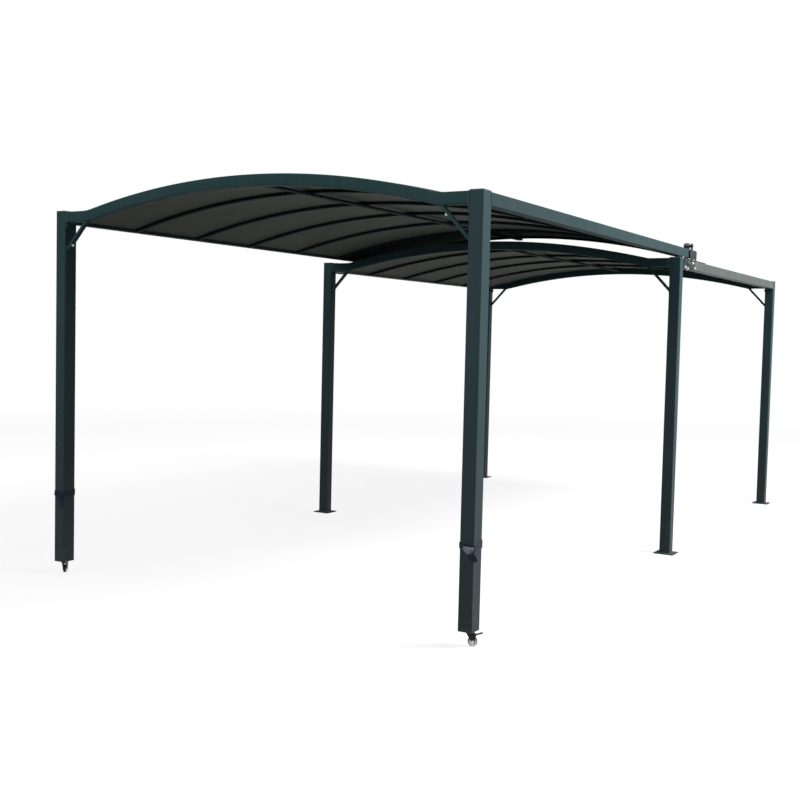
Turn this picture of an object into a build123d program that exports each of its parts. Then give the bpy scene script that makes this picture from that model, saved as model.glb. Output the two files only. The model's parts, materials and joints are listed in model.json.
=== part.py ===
from build123d import *
from math import asin, cos, radians, sin, sqrt
import os

# Telescopic canopy: a fixed rear section on four bolted posts, and a front section on two
# castered posts whose side beams run between rollers on the fixed section.
# Millimetres, +Z up, +X to the right seen from the open front, +Y along the slide.

# Posts and beams
post_size = 80
sliding_post_depth = 95
post_wall = 2
post_corner = 6
post_cap_height = 6
plug_depth = 20
plug_gap = 0.2
beam_width = 60
beam_height = 70
beam_wall = 2
beam_corner = 4
end_cap_thickness = 5

# Main arches
arch_width = 60
arch_depth = 65
arch_wall = 2
arch_setback = 3
arch_flange_thickness = 5
arch_flange_drop = 36
arch_rise = 155
stub_length = 185
blend_radius = 400

# Roof ribs, ridge bars and sheets
rib_width = 30
rib_depth = 20
rib_wall = 1.5
sheet_thickness = 4
sheet_reveal = 2
sheet_side_drop = 46
notch_gap = 0.5
ridge_width = 40
ridge_depth = 15

# Sections
sliding_half_width = 1500
sliding_post_length = 2224
sliding_bays = 6
sliding_tail = 62
post_side_gap = 5
fixed_level_drop = 105
fixed_front_distance = 3110
fixed_bay = 640
fixed_bays = 5

# Base plates
plate_hole_edge = 17.5
plate_thickness = 6
plate_corner = 8
plate_hole_spacing = 115
plate_hole_diameter = 13

# Knee braces
brace_run = 165
brace_drop = 175
brace_width = 28
brace_channel_depth = 16
brace_wall = 2.5
brace_foot_length = 60
brace_inset = 10

# Roller brackets on the fixed side beams
bracket_setback = 550
rib_behind_rollers = 93
cheek_front_reach = 45
cheek_back_reach = 135
cheek_height = 94
cheek_thickness = 6
cheek_gap = 6
crown_radius = 22
foot_thickness = 5
foot_margin = 5
skirt_length = 285
skirt_depth = 84
pin_diameter = 12
pin_head_diameter = 24
pin_head_height = 6
roller_diameter = 50
roller_width = 40
roller_rim_radius = 3
roller_hub_diameter = 30
roller_recess = 5
running_gap = 0.3
bore_clearance = 0.1
axial_gap = 0.5
collar_diameter = 22
collar_thickness = 3

# Casters
wheel_diameter = 50
wheel_width = 18
wheel_tread = 5
wheel_pin_diameter = 8
caster_trail = 22
fork_top_gap = 1
fork_disc_diameter = 44
fork_disc_thickness = 5
fork_plate = 3
fork_side_gap = 1.5
fork_cheek_width = 30
stem_diameter = 12
stem_length = 16
socket_flange = 3
caster_clear_height = 80
caster_heading_right = 30
caster_heading_left = 120
pedal_pivot_reach = 34
pedal_pivot_height = 58
pedal_pin_diameter = 6
pedal_reach = 40
pedal_thickness = 4
pedal_rise = 12
pedal_side_gap = 1

# Fabric ties round the castered posts
tie_thickness = 6
tie_height = 95
tie_centre_height = 500
tie_gap = 0.3
knot_width = 60
knot_height = 62
knot_thickness = 14

# Levels
sliding_bottom = caster_clear_height + socket_flange
sliding_top = sliding_bottom + sliding_post_length
fixed_top = sliding_top - fixed_level_drop
fixed_half_width = sliding_half_width + post_side_gap + post_size

# Places along the slide, from the front face of the castered posts
arch_centre = arch_setback + arch_width / 2
bracket_distance = fixed_front_distance + bracket_setback
rear_rib_distance = bracket_distance + rib_behind_rollers
sliding_bay = (rear_rib_distance - arch_centre) / sliding_bays
sliding_length = rear_rib_distance + rib_width / 2 + sliding_tail
fixed_length = 2 * arch_centre + fixed_bays * fixed_bay
rear_distance = fixed_front_distance + fixed_length
plate_size = plate_hole_spacing + 2 * plate_hole_edge
plate_overhang = (plate_size - post_size) / 2
plug_margin = 2 * post_wall + 2 * plug_gap
knot_reach = tie_gap + tie_thickness + knot_thickness
overall_length = knot_reach + rear_distance + plate_overhang
front_y = knot_reach - overall_length / 2

os.makedirs("parts", exist_ok=True)


def along(distance):
    return front_y + distance


def write(piece, name):
    piece.part.label = name
    export_step(piece.part, f"parts/{name}.step")


def cross_plane(distance):
    return Plane(origin=(0, along(distance), 0), x_dir=(1, 0, 0), z_dir=(0, -1, 0))


def side_plane(x):
    return Plane(origin=(x, 0, 0), x_dir=(0, 1, 0), z_dir=(1, 0, 0))


sides = {"left": -1, "right": 1}

# Tube posts, each centred on its own place in plan
def post_centre(side, distance, half_width, depth):
    return (side * (half_width - post_size / 2), along(distance + depth / 2))


def write_post(name, centre, depth, bottom, top):
    with BuildPart() as post:
        with BuildSketch(Plane(origin=(*centre, bottom))):
            RectangleRounded(post_size, depth, post_corner)
            offset(amount=-post_wall, mode=Mode.SUBTRACT)
        extrude(amount=top - bottom)
    write(post, name)


def write_post_caps(name, centres, depth, top):
    with BuildPart() as caps:
        for centre in centres:
            with BuildSketch(Plane(origin=(*centre, top))):
                RectangleRounded(post_size, depth, post_corner)
            extrude(amount=post_cap_height)
            with BuildSketch(Plane(origin=(*centre, top - plug_depth))):
                RectangleRounded(post_size - plug_margin, depth - plug_margin, post_corner - post_wall)
            extrude(amount=plug_depth)
        rims = caps.faces().filter_by(Axis.Z).group_by(Axis.Z)[-1].edges()
        chamfer(rims, length=post_cap_height / 3)
    write(caps, name)


sliding_centres = {}
for side_name, side in sides.items():
    centre = post_centre(side, 0, sliding_half_width, sliding_post_depth)
    sliding_centres[side_name] = centre
    write_post(f"sliding_post_{side_name}", centre, sliding_post_depth, sliding_bottom, sliding_top)
write_post_caps("sliding_post_caps", sliding_centres.values(), sliding_post_depth, sliding_top)

fixed_rows = {"front": fixed_front_distance, "rear": rear_distance - post_size}
fixed_centres = {}
for row_name, distance in fixed_rows.items():
    for side_name, side in sides.items():
        corner_name = f"{row_name}_{side_name}"
        centre = post_centre(side, distance, fixed_half_width, post_size)
        fixed_centres[corner_name] = centre
        write_post(f"fixed_post_{corner_name}", centre, post_size, plate_thickness, fixed_top)
        with BuildPart() as base_plate:
            with BuildSketch(Plane(origin=(*centre, 0))):
                RectangleRounded(plate_size, plate_size, plate_corner)
                with GridLocations(plate_hole_spacing, plate_hole_spacing, 2, 2):
                    Circle(plate_hole_diameter / 2, mode=Mode.SUBTRACT)
            extrude(amount=plate_thickness)
        write(base_plate, f"base_plate_{corner_name}")
write_post_caps("fixed_post_caps", fixed_centres.values(), post_size, fixed_top)


# Side beams: rectangular tubes flush with the outer faces and tops of the posts
def write_side_beam(name, side, half_width, top, start, end):
    centre = (side * (half_width - beam_width / 2), along(start), top - beam_height / 2)
    with BuildPart() as beam:
        with BuildSketch(Plane(origin=centre, x_dir=(1, 0, 0), z_dir=(0, -1, 0))):
            RectangleRounded(beam_width, beam_height, beam_corner)
            offset(amount=-beam_wall, mode=Mode.SUBTRACT)
        extrude(amount=start - end)
    write(beam, name)


sliding_beam_end = sliding_length - end_cap_thickness
fixed_beam_end = rear_distance - post_size
for side_name, side in sides.items():
    write_side_beam(f"sliding_side_beam_{side_name}", side, sliding_half_width, sliding_top,
                    sliding_post_depth, sliding_beam_end)
    write_side_beam(f"fixed_side_beam_{side_name}", side, fixed_half_width, fixed_top,
                    fixed_front_distance + post_size, fixed_beam_end)

with BuildPart() as beam_end_caps:
    for side in sides.values():
        centre_x = side * (sliding_half_width - beam_width / 2)
        centre = (centre_x, along(sliding_beam_end), sliding_top - beam_height / 2)
        with BuildSketch(Plane(origin=centre, x_dir=(1, 0, 0), z_dir=(0, -1, 0))):
            RectangleRounded(beam_width, beam_height, beam_corner)
        extrude(amount=-end_cap_thickness)
        plug_width = beam_width - 2 * beam_wall - 2 * plug_gap
        plug_height = beam_height - 2 * beam_wall - 2 * plug_gap
        with BuildSketch(Plane(origin=centre, x_dir=(1, 0, 0), z_dir=(0, -1, 0))):
            RectangleRounded(plug_width, plug_height, beam_corner - beam_wall)
        extrude(amount=plug_depth)
    end_rims = beam_end_caps.faces().filter_by(Axis.Y).group_by(Axis.Y)[-1].edges()
    chamfer(end_rims, length=end_cap_thickness / 3)
write(beam_end_caps, "sliding_beam_end_caps")


# Main arches: straight stubs off the posts, a short reverse bend, then one long curve; a
# flange at each end hangs below the tube and bolts to the post
def write_arch(name, half_width, top, distance):
    stub_end = half_width - post_size
    kink = stub_end - stub_length
    axis_height = top - arch_depth / 2
    main_radius = (kink**2 + arch_rise**2) / (2 * arch_rise)
    centre_span = main_radius + blend_radius
    blend_start = sqrt(2 * centre_span * arch_rise - arch_rise**2)
    turn = asin(blend_start / centre_span)
    main_end = (main_radius * sin(turn), axis_height + arch_rise - main_radius * (1 - cos(turn)))
    flange_height = arch_depth + arch_flange_drop
    with BuildPart() as arch:
        for side in sides.values():
            flange_middle = (side * (stub_end - arch_flange_thickness / 2), along(distance + arch_width / 2))
            with Locations((*flange_middle, top - flange_height / 2)):
                Box(arch_flange_thickness, arch_width, flange_height)
        for wall in (0, arch_wall):
            with BuildSketch(cross_plane(distance + wall)):
                with BuildLine():
                    left_stub = Line((-stub_end, axis_height), (-blend_start, axis_height))
                    TangentArc(left_stub @ 1, (-main_end[0], main_end[1]), tangent=left_stub % 1)
                    ThreePointArc((-main_end[0], main_end[1]), (0, axis_height + arch_rise), main_end)
                    right_stub = Line((stub_end, axis_height), (blend_start, axis_height))
                    TangentArc(right_stub @ 1, main_end, tangent=right_stub % 1)
                trace(line_width=arch_depth - 2 * wall)
            mode = Mode.SUBTRACT if wall else Mode.ADD
            extrude(amount=2 * wall - arch_width, mode=mode)
    write(arch, name)


write_arch("sliding_front_arch", sliding_half_width, sliding_top, arch_setback)
write_arch("fixed_front_arch", fixed_half_width, fixed_top, fixed_front_distance + arch_setback)
write_arch("fixed_rear_arch", fixed_half_width, fixed_top, rear_distance - arch_setback - arch_width)


# Ribs and sheets follow one circle between the inner faces of the side beams
def roof_circle(half_width, top):
    half_span = half_width - beam_width
    apex = top + arch_rise - sheet_reveal
    sagitta = apex - (top - sheet_side_drop)
    radius = (half_span**2 + sagitta**2) / (2 * sagitta)
    return half_span, apex, radius


def roof_band(half_width, top, depth_to_top, depth_to_bottom):
    half_span, apex, radius = roof_circle(half_width, top)
    ends = []
    for depth in (depth_to_top, depth_to_bottom):
        foot = apex - radius + sqrt((radius - depth)**2 - half_span**2)
        ends.append(foot)
        ThreePointArc((-half_span, foot), (0, apex - depth), (half_span, foot))
    for end in (-half_span, half_span):
        Line((end, ends[0]), (end, ends[1]))


def write_rib(name, half_width, top, distance):
    with BuildPart() as rib:
        for wall in (0, rib_wall):
            with BuildSketch(cross_plane(distance - rib_width / 2 + wall)):
                with BuildLine():
                    roof_band(half_width, top, sheet_thickness + wall,
                              sheet_thickness + rib_depth - wall)
                make_face()
            mode = Mode.SUBTRACT if wall else Mode.ADD
            extrude(amount=2 * wall - rib_width, mode=mode)
    write(rib, name)


# Each sheet is notched at its corners round the posts that stand there
def write_sheet(name, half_width, top, start, end, post_distances, post_depth):
    with BuildPart() as sheet:
        with BuildSketch(cross_plane(start)):
            with BuildLine():
                roof_band(half_width, top, 0, sheet_thickness)
            make_face()
        extrude(amount=start - end)
        for distance in post_distances:
            for side in sides.values():
                with Locations((*post_centre(side, distance, half_width, post_depth), top)):
                    Box(post_size + 2 * notch_gap, post_depth + 2 * notch_gap, 2 * arch_rise,
                        mode=Mode.SUBTRACT)
    write(sheet, name)


# A ridge bar runs under the ribs at the apex and meets them along its two top edges
def write_ridge_bar(name, half_width, top, start, end):
    half_span, apex, radius = roof_circle(half_width, top)
    rib_under_radius = radius - sheet_thickness - rib_depth
    bar_top = apex - radius + sqrt(rib_under_radius**2 - (ridge_width / 2)**2)
    with BuildPart() as bar:
        with BuildSketch(Plane(origin=(0, along(start), bar_top - ridge_depth / 2), x_dir=(1, 0, 0),
                               z_dir=(0, -1, 0))):
            Rectangle(ridge_width, ridge_depth)
            offset(amount=-rib_wall, mode=Mode.SUBTRACT)
        extrude(amount=start - end)
    write(bar, name)


for number in range(1, sliding_bays + 1):
    write_rib(f"sliding_rib_{number}", sliding_half_width, sliding_top,
              arch_centre + number * sliding_bay)
for number in range(1, fixed_bays):
    write_rib(f"fixed_rib_{number}", fixed_half_width, fixed_top,
              fixed_front_distance + arch_centre + number * fixed_bay)

arch_back = arch_setback + arch_width
sliding_roof_end = rear_rib_distance + rib_width / 2
fixed_roof_start = fixed_front_distance + arch_back
fixed_roof_end = rear_distance - arch_back
write_sheet("sliding_roof_sheet", sliding_half_width, sliding_top, arch_back, sliding_roof_end, [0],
            sliding_post_depth)
write_sheet("fixed_roof_sheet", fixed_half_width, fixed_top, fixed_roof_start, fixed_roof_end,
            fixed_rows.values(), post_size)
write_ridge_bar("sliding_ridge_bar", sliding_half_width, sliding_top, arch_back, sliding_roof_end)
write_ridge_bar("fixed_ridge_bar", fixed_half_width, fixed_top, fixed_roof_start, fixed_roof_end)


# Knee braces: a channel from the inner face of each post up to the underside of its arch,
# open towards the corner, with a foot plate at each end
def write_knee_braces(name, half_width, top, distance):
    post_face = half_width - post_size
    underside = top - arch_depth
    middle_y = along(distance + brace_width / 2)
    overrun = 2 * brace_channel_depth
    with BuildPart() as braces:
        for side in sides.values():
            low = Vector(side * post_face, middle_y, underside - brace_drop)
            high = Vector(side * (post_face - brace_run), middle_y, underside)
            run = (high - low).normalized()
            channel_plane = Plane(origin=low - run * overrun, x_dir=(0, 1, 0), z_dir=run)
            corner_side = 1 if channel_plane.y_dir.Z > 0 else -1
            with BuildSketch(channel_plane):
                Rectangle(brace_width, brace_channel_depth)
                with Locations((0, corner_side * brace_wall)):
                    Rectangle(brace_width - 2 * brace_wall, brace_channel_depth, mode=Mode.SUBTRACT)
            extrude(amount=(high - low).length + 2 * overrun)
        with Locations((0, middle_y, underside)):
            Box(2 * post_face, 2 * brace_width, 4 * brace_drop, mode=Mode.INTERSECT,
                align=(Align.CENTER, Align.CENTER, Align.MAX))
        for side in sides.values():
            with Locations((side * (post_face - brace_wall / 2), middle_y, underside - brace_drop)):
                Box(brace_wall, brace_width, brace_foot_length)
            with Locations((side * (post_face - brace_run), middle_y, underside - brace_wall / 2)):
                Box(brace_foot_length, brace_width, brace_wall)
    write(braces, name)


write_knee_braces("sliding_knee_braces", sliding_half_width, sliding_top, brace_inset)
write_knee_braces("fixed_front_knee_braces", fixed_half_width, fixed_top,
                  fixed_front_distance + brace_inset)
write_knee_braces("fixed_rear_knee_braces", fixed_half_width, fixed_top,
                  rear_distance - brace_inset - brace_width)


# Roller brackets: a foot along the top of each fixed side beam with a skirt on its outer
# face, and a cheek plate whose crown and body carry one roller over and one under the
# sliding beam on two pins
beam_underside = sliding_top - beam_height
upper_axis = sliding_top + running_gap + roller_diameter / 2
lower_axis = beam_underside - running_gap - roller_diameter / 2
cheek_x = sliding_half_width + cheek_gap
roller_middle_x = sliding_half_width - beam_width / 2
roller_outer_x = roller_middle_x + roller_width / 2
roller_inner_x = roller_middle_x - roller_width / 2
bracket_y = along(bracket_distance)


def pin_plane(side, x, height):
    return Plane(origin=(side * x, bracket_y, height), x_dir=(0, 1, 0), z_dir=(side, 0, 0))


for side_name, side in sides.items():
    with BuildPart() as bracket:
        with BuildSketch(side_plane(side * cheek_x)):
            with Locations((bracket_y, upper_axis)):
                Circle(crown_radius)
            with Locations((bracket_y, fixed_top + foot_thickness / 2)):
                Rectangle(2 * crown_radius, foot_thickness)
            make_hull()
            with Locations((bracket_y - cheek_front_reach, fixed_top)):
                Rectangle(cheek_front_reach + cheek_back_reach, cheek_height,
                          align=(Align.MIN, Align.MIN))
        extrude(amount=side * cheek_thickness)
        foot_width = fixed_half_width - cheek_x
        foot_start = fixed_front_distance + post_size + foot_margin
        foot_length = bracket_distance + cheek_back_reach - foot_start
        with Locations((side * (cheek_x + foot_width / 2), along(foot_start), fixed_top)):
            Box(foot_width, foot_length, foot_thickness, align=(Align.CENTER, Align.MIN, Align.MIN))
        with Locations((side * (fixed_half_width + foot_thickness / 2), along(foot_start),
                        fixed_top + foot_thickness)):
            Box(foot_thickness, skirt_length, skirt_depth, align=(Align.CENTER, Align.MIN, Align.MAX))
        head_x = cheek_x + cheek_thickness
        collar_x = roller_inner_x - axial_gap - collar_thickness
        spacer_x = roller_outer_x + axial_gap
        for height in (lower_axis, upper_axis):
            with BuildSketch(pin_plane(side, collar_x, height)):
                Circle(pin_diameter / 2)
            extrude(amount=head_x - collar_x)
            with BuildSketch(pin_plane(side, head_x, height)):
                RegularPolygon(pin_head_diameter / 2, 6)
            extrude(amount=pin_head_height)
            with BuildSketch(pin_plane(side, collar_x, height)):
                Circle(collar_diameter / 2)
            extrude(amount=collar_thickness)
            with BuildSketch(pin_plane(side, spacer_x, height)):
                Circle(collar_diameter / 2)
            extrude(amount=cheek_x - spacer_x)
    write(bracket, f"roller_bracket_{side_name}")
    for level_name, height in {"upper": upper_axis, "lower": lower_axis}.items():
        with BuildPart() as roller:
            with BuildSketch(pin_plane(side, roller_inner_x, height)):
                Circle(roller_diameter / 2)
            extrude(amount=roller_width)
            rims = roller.edges().filter_by(GeomType.CIRCLE)
            fillet(rims, radius=roller_rim_radius)
            for face_x, depth in ((roller_inner_x, roller_recess), (roller_outer_x, -roller_recess)):
                with BuildSketch(pin_plane(side, face_x, height)):
                    Circle(roller_diameter / 2 - 2 * roller_rim_radius)
                    Circle(roller_hub_diameter / 2, mode=Mode.SUBTRACT)
                extrude(amount=depth, mode=Mode.SUBTRACT)
            with BuildSketch(pin_plane(side, roller_inner_x, height)):
                Circle((pin_diameter + bore_clearance) / 2)
            extrude(amount=roller_width, mode=Mode.SUBTRACT)
        write(roller, f"{level_name}_roller_{side_name}")


# Casters: a socket plug in the foot of each sliding post, a swivelling fork with its stem,
# a wheel and a brake pedal; each caster is drawn on a plane turned to its heading
axle_height = wheel_diameter / 2
fork_top = caster_clear_height - fork_top_gap
cheek_inner = wheel_width / 2 + fork_side_gap

with BuildPart() as caster_sockets:
    for centre in sliding_centres.values():
        with BuildSketch(Plane(origin=(*centre, caster_clear_height))):
            RectangleRounded(post_size, sliding_post_depth, post_corner)
        extrude(amount=socket_flange)
        with BuildSketch(Plane(origin=(*centre, sliding_bottom))):
            RectangleRounded(post_size - plug_margin, sliding_post_depth - plug_margin,
                             post_corner - post_wall)
        extrude(amount=plug_depth)
        with BuildSketch(Plane(origin=(*centre, caster_clear_height))):
            Circle((stem_diameter + bore_clearance) / 2)
        extrude(amount=stem_length + axial_gap, mode=Mode.SUBTRACT)
write(caster_sockets, "caster_sockets")


# Local axes of a caster: x along the trail, y along the axle, origin on the floor
def caster_plane(centre, heading):
    turned = (cos(radians(heading)), sin(radians(heading)), 0)
    return Plane(origin=(*centre, 0), x_dir=turned, z_dir=(0, 0, 1))


def section_plane(base, offset_y):
    return Plane(origin=base.from_local_coords((0, offset_y, 0)), x_dir=base.x_dir, z_dir=-base.y_dir)


def write_caster(side_name, centre, heading):
    base = caster_plane(centre, heading)
    pivot = (pedal_pivot_reach, pedal_pivot_height)
    cheek_outer = cheek_inner + fork_plate
    with BuildPart() as fork:
        with BuildSketch(Plane(origin=(*centre, fork_top - fork_disc_thickness))):
            Circle(fork_disc_diameter / 2)
        extrude(amount=fork_disc_thickness)
        with BuildSketch(Plane(origin=(*centre, fork_top))):
            Circle(stem_diameter / 2)
        extrude(amount=stem_length + fork_top_gap)
        for cheek_side in (-1, 1):
            with BuildSketch(section_plane(base, cheek_side * cheek_inner)):
                with Locations((caster_trail, axle_height)):
                    Circle(fork_plate + wheel_pin_diameter / 2)
                with Locations(pivot):
                    Circle(fork_plate + pedal_pin_diameter / 2)
                with Locations((0, fork_top - fork_disc_thickness / 2)):
                    Rectangle(fork_cheek_width, fork_disc_thickness)
                make_hull()
            extrude(amount=-cheek_side * fork_plate)
        with BuildSketch(section_plane(base, -cheek_outer)):
            with Locations((caster_trail, axle_height)):
                Circle(wheel_pin_diameter / 2)
            with Locations(pivot):
                Circle(pedal_pin_diameter / 2)
        extrude(amount=-2 * cheek_outer)
    write(fork, f"caster_fork_{side_name}")
    with BuildPart() as wheel:
        with BuildSketch(section_plane(base, -wheel_width / 2)):
            with Locations((caster_trail, axle_height)):
                Circle(wheel_diameter / 2)
        extrude(amount=-wheel_width)
        fillet(wheel.edges().filter_by(GeomType.CIRCLE), radius=roller_rim_radius)
        for face_y, depth in ((-wheel_width / 2, -wheel_tread / 2), (wheel_width / 2, wheel_tread / 2)):
            with BuildSketch(section_plane(base, face_y)):
                with Locations((caster_trail, axle_height)):
                    Circle(wheel_diameter / 2 - wheel_tread)
                    Circle(wheel_pin_diameter, mode=Mode.SUBTRACT)
            extrude(amount=depth, mode=Mode.SUBTRACT)
        with BuildSketch(section_plane(base, -wheel_width / 2)):
            with Locations((caster_trail, axle_height)):
                Circle((wheel_pin_diameter + bore_clearance) / 2)
        extrude(amount=-wheel_width, mode=Mode.SUBTRACT)
    write(wheel, f"caster_wheel_{side_name}")
    pedal_width = 2 * (cheek_inner - pedal_side_gap)
    with BuildPart() as pedal:
        with BuildSketch(section_plane(base, -pedal_width / 2)):
            with BuildLine():
                tip = (pivot[0] + pedal_reach, pivot[1] + pedal_rise)
                Line(pivot, tip)
            trace(line_width=pedal_thickness)
            with Locations(pivot):
                Circle(pedal_thickness / 2 + pedal_pin_diameter / 2)
                Circle((pedal_pin_diameter + bore_clearance) / 2, mode=Mode.SUBTRACT)
        extrude(amount=-pedal_width)
    write(pedal, f"brake_pedal_{side_name}")


write_caster("left", sliding_centres["left"], caster_heading_left)
write_caster("right", sliding_centres["right"], caster_heading_right)


# Fabric ties: a band round each castered post, knotted at the front
for side_name, centre in sliding_centres.items():
    tie_reach = tie_gap + tie_thickness
    with BuildPart() as tie:
        with BuildSketch(Plane(origin=(*centre, tie_centre_height - tie_height / 2))):
            RectangleRounded(post_size + 2 * tie_reach, sliding_post_depth + 2 * tie_reach,
                             post_corner + tie_reach)
            RectangleRounded(post_size + 2 * tie_gap, sliding_post_depth + 2 * tie_gap,
                             post_corner + tie_gap, mode=Mode.SUBTRACT)
        extrude(amount=tie_height)
        band_front = along(-tie_reach)
        with BuildSketch(Plane(origin=(centre[0], band_front, tie_centre_height), x_dir=(1, 0, 0),
                               z_dir=(0, -1, 0))):
            RectangleRounded(knot_width, knot_height, knot_thickness)
        extrude(amount=knot_thickness, taper=20)
    write(tie, f"post_tie_{side_name}")
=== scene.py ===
import json
import math

import bpy
import bmesh
from mathutils import Matrix, Vector, noise


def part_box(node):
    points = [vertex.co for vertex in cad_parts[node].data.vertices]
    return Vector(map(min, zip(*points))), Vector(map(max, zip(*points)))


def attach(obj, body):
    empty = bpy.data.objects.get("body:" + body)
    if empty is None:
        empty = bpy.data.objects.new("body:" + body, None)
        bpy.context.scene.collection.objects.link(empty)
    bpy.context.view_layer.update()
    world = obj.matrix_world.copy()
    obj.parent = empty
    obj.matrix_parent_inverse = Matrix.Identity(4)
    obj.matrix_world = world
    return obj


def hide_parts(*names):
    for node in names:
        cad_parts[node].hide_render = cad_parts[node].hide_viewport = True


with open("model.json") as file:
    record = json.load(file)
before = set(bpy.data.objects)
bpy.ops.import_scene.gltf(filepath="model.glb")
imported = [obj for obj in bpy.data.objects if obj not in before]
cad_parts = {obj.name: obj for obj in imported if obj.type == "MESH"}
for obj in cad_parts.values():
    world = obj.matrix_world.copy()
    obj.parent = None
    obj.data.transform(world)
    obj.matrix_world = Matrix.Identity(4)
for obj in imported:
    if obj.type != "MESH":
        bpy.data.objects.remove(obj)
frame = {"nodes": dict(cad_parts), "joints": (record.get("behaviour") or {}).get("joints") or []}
nodes = frame["nodes"]
joints = {joint["name"]: joint for joint in frame["joints"]}
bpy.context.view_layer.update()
scene = bpy.context.scene
scene.view_settings.view_transform = "Standard"
print("canopy: frame loaded,", len(nodes), "nodes")


def tone(red, green, blue):
    # a colour as it is read off a screen, 0 to 255, turned to linear light
    parts = [c / 255 for c in (red, green, blue)]
    return tuple(p / 12.92 if p <= 0.04045 else ((p + 0.055) / 1.055) ** 2.4 for p in parts) + (1.0,)


class Wire:
    # one value in a node tree; arithmetic on it adds Math nodes
    def __init__(self, owner, socket):
        self.owner, self.socket = owner, socket

    def math(self, operation, second=None, first=None, clamp=False):
        pair = [self if first is None else first, second if first is None else self]
        sockets = {i: v for i, v in enumerate(pair) if v is not None}
        return self.owner.add("ShaderNodeMath", {"operation": operation, "use_clamp": clamp}, sockets)

    def __add__(self, other):
        return self.math("ADD", other)

    def __radd__(self, other):
        return self.math("ADD", first=other)

    def __sub__(self, other):
        return self.math("SUBTRACT", other)

    def __rsub__(self, other):
        return self.math("SUBTRACT", first=other)

    def __mul__(self, other):
        return self.math("MULTIPLY", other)

    def __rmul__(self, other):
        return self.math("MULTIPLY", first=other)


def addNode(owner, kind, settings=None, sockets=None, out=0):
    node = owner.tree.nodes.new(kind)
    for key, value in (settings or {}).items():
        setattr(node, key, value)
    for key, value in (sockets or {}).items():
        if isinstance(value, Wire):
            owner.tree.links.new(value.socket, node.inputs[key])
        elif value is not None:
            node.inputs[key].default_value = value
    return Wire(owner, node.outputs[out])


class Finish:
    # a material under construction
    def __init__(self, name):
        self.material = bpy.data.materials.new(name)
        self.material.use_nodes = True
        self.tree = self.material.node_tree
        self.tree.nodes.clear()
        self.place = self.add("ShaderNodeTexCoord", out="Object")

    add = addNode

    def stretched(self, scale):
        return self.add("ShaderNodeMapping", None, {"Vector": self.place, "Scale": scale})

    def noise(self, scale, detail=4.0, rough=0.55, at=None):
        return self.add("ShaderNodeTexNoise", None, {"Vector": at or self.place, "Scale": scale,
                                                     "Detail": detail, "Roughness": rough})

    def ramp(self, value, low, high):
        return self.add("ShaderNodeMapRange", {"interpolation_type": "SMOOTHSTEP"},
                        {"Value": value, "From Min": low, "From Max": high, "To Min": 0.0, "To Max": 1.0})

    def between(self, share, first, second):
        return self.add("ShaderNodeMix", {"data_type": "RGBA"}, {0: share, 6: first, 7: second}, out=2)

    def part(self, vector, axis):
        return self.add("ShaderNodeSeparateXYZ", None, {"Vector": vector}, out=axis)

    def upward(self):
        return self.part(self.add("ShaderNodeNewGeometry", out="Normal"), "Z")

    def bump(self, height, strength, distance, normal=None):
        return self.add("ShaderNodeBump", None, {"Height": height, "Strength": strength,
                                                 "Distance": distance, "Normal": normal})

    def rounded(self, radius):
        return self.add("ShaderNodeBevel", {"samples": 4}, {"Radius": radius})

    def close(self, colour, roughness, normal, others):
        sockets = {"Base Color": colour, "Roughness": roughness, "Normal": normal}
        self.output(self.add("ShaderNodeBsdfPrincipled", None, dict(sockets, **others)))
        return self.material

    def output(self, shader):
        end = self.tree.nodes.new("ShaderNodeOutputMaterial")
        self.tree.links.new(shader.socket, end.inputs["Surface"])


paintLook = {
    "base": tone(27, 51, 57), "faded": tone(47, 67, 71), "dust": tone(96, 102, 97),
    "grime": tone(33, 36, 37), "bare": tone(132, 138, 140),
    "grain": 1400.0, "grainDepth": 0.00012, "specular": 0.12, "gloss": 0.45,
    "grimeTop": 2.1, "grimeShare": 0.6, "rubRadius": 0.0035, "rubShare": 0.45,
    "splashTop": 0.42, "splashShare": 0.22, "dustShare": 0.3, "speckShare": 0.05, "greaseShare": 0.8,
}


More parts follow.
